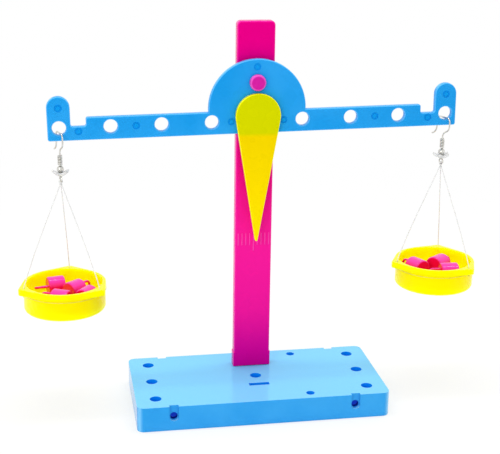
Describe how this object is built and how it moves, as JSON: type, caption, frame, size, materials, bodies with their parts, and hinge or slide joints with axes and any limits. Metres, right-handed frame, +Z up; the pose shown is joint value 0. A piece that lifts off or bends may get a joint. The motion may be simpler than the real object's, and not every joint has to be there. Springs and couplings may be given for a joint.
{
  "type": "toy balance scale",
  "caption": "Toy balance scale: a column on a tray base carries a pivoting beam with a pointer, and two dish pans hang from wire hooks on threads and hold small weights.",
  "frame": {"origin": "the middle of the base's underside, on the axis of its centre hole, on the table", "axes": "+X along the beam to the right as seen from the pointer's side, +Y away from the pointer's side, +Z up"},
  "size_m": [0.2036, 0.0548, 0.167],
  "materials": {
    "pale_blue_plastic": "glossy",
    "blue_plastic": "glossy",
    "pink_plastic": "glossy",
    "yellow_plastic": "glossy",
    "steel": "polished",
    "clear_plastic": "clear",
    "nylon_thread": "satin"
  },
  "bodies": {
    "stand": {"base": "pale_blue_plastic", "column": "pink_plastic", "pivot_pin": "pink_plastic"},
    "balance_beam": {"beam": "blue_plastic", "pointer": "yellow_plastic"},
    "left_hook": {"left_hook_wire": "steel", "left_hook_coil": "steel", "left_hook_ball": "steel"},
    "left_star": {"left_star_bead": "clear_plastic"},
    "left_hanging_pan": {"left_thread_tie": "nylon_thread", "left_thread_rear": "nylon_thread", "left_thread_left": "nylon_thread", "left_thread_right": "nylon_thread", "left_thread_band": "nylon_thread", "left_pan": "yellow_plastic"},
    "left_load_1": {"left_weight_1": "pink_plastic"},
    "left_load_2": {"left_weight_2": "pink_plastic"},
    "left_load_3": {"left_weight_3": "pink_plastic"},
    "left_load_4": {"left_weight_4": "pink_plastic"},
    "right_hook": {"right_hook_wire": "steel", "right_hook_coil": "steel", "right_hook_ball": "steel"},
    "right_star": {"right_star_bead": "clear_plastic"},
    "right_hanging_pan": {"right_thread_tie": "nylon_thread", "right_thread_rear": "nylon_thread", "right_thread_left": "nylon_thread", "right_thread_right": "nylon_thread", "right_thread_band": "nylon_thread", "right_pan": "yellow_plastic"},
    "right_load_1": {"right_weight_1": "pink_plastic"},
    "right_load_2": {"right_weight_2": "pink_plastic"},
    "right_load_3": {"right_weight_3": "pink_plastic"}
  },
  "joints": [
    {"name": "beam_tilt", "type": "hinge", "parent": "stand", "child": "balance_beam", "pos_m": [0, 0.008, 0.1419], "axis": [0, 1, 0], "range_deg": [-16, 18]},
    {"name": "left_hook_swing", "type": "hinge", "parent": "balance_beam", "child": "left_hook", "pos_m": [-0.0828, 0.008, 0.1221], "axis": [0, 1, 0], "range_deg": [-18, 18]},
    {"name": "left_star_spin", "type": "hinge", "parent": "left_hook", "child": "left_star", "pos_m": [-0.0828, 0.008, 0.10446], "axis": [0, 0, 1], "continuous": true},
    {"name": "left_pan_swing", "type": "hinge", "parent": "left_hook", "child": "left_hanging_pan", "pos_m": [-0.0828, 0.008, 0.10125], "axis": [0.9511, 0.309, 0], "range_deg": [-18, 18]},
    {"name": "left_weight_1_lift", "type": "slide", "parent": "left_hanging_pan", "child": "left_load_1", "axis": [0, 0, 1], "range_m": [0, 0.01]},
    {"name": "left_weight_2_lift", "type": "slide", "parent": "left_hanging_pan", "child": "left_load_2", "axis": [0, 0, 1], "range_m": [0, 0.01]},
    {"name": "left_weight_3_lift", "type": "slide", "parent": "left_hanging_pan", "child": "left_load_3", "axis": [0, 0, 1], "range_m": [0, 0.01]},
    {"name": "left_weight_4_lift", "type": "slide", "parent": "left_hanging_pan", "child": "left_load_4", "axis": [0, 0, 1], "range_m": [0, 0.01]},
    {"name": "right_hook_swing", "type": "hinge", "parent": "balance_beam", "child": "right_hook", "pos_m": [0.08337, 0.008, 0.125], "axis": [0, 1, 0], "range_deg": [-18, 18]},
    {"name": "right_star_spin", "type": "hinge", "parent": "right_hook", "child": "right_star", "pos_m": [0.08337, 0.008, 0.10736], "axis": [0, 0, 1], "continuous": true},
    {"name": "right_pan_swing", "type": "hinge", "parent": "right_hook", "child": "right_hanging_pan", "pos_m": [0.08337, 0.008, 0.10416], "axis": [0.9272, 0.3746, 0], "range_deg": [-18, 18]},
    {"name": "right_weight_1_lift", "type": "slide", "parent": "right_hanging_pan", "child": "right_load_1", "axis": [0, 0, 1], "range_m": [0, 0.01]},
    {"name": "right_weight_2_lift", "type": "slide", "parent": "right_hanging_pan", "child": "right_load_2", "axis": [0, 0, 1], "range_m": [0, 0.01]},
    {"name": "right_weight_3_lift", "type": "slide", "parent": "right_hanging_pan", "child": "right_load_3", "axis": [0, 0, 1], "range_m": [0, 0.01]}
  ]
}
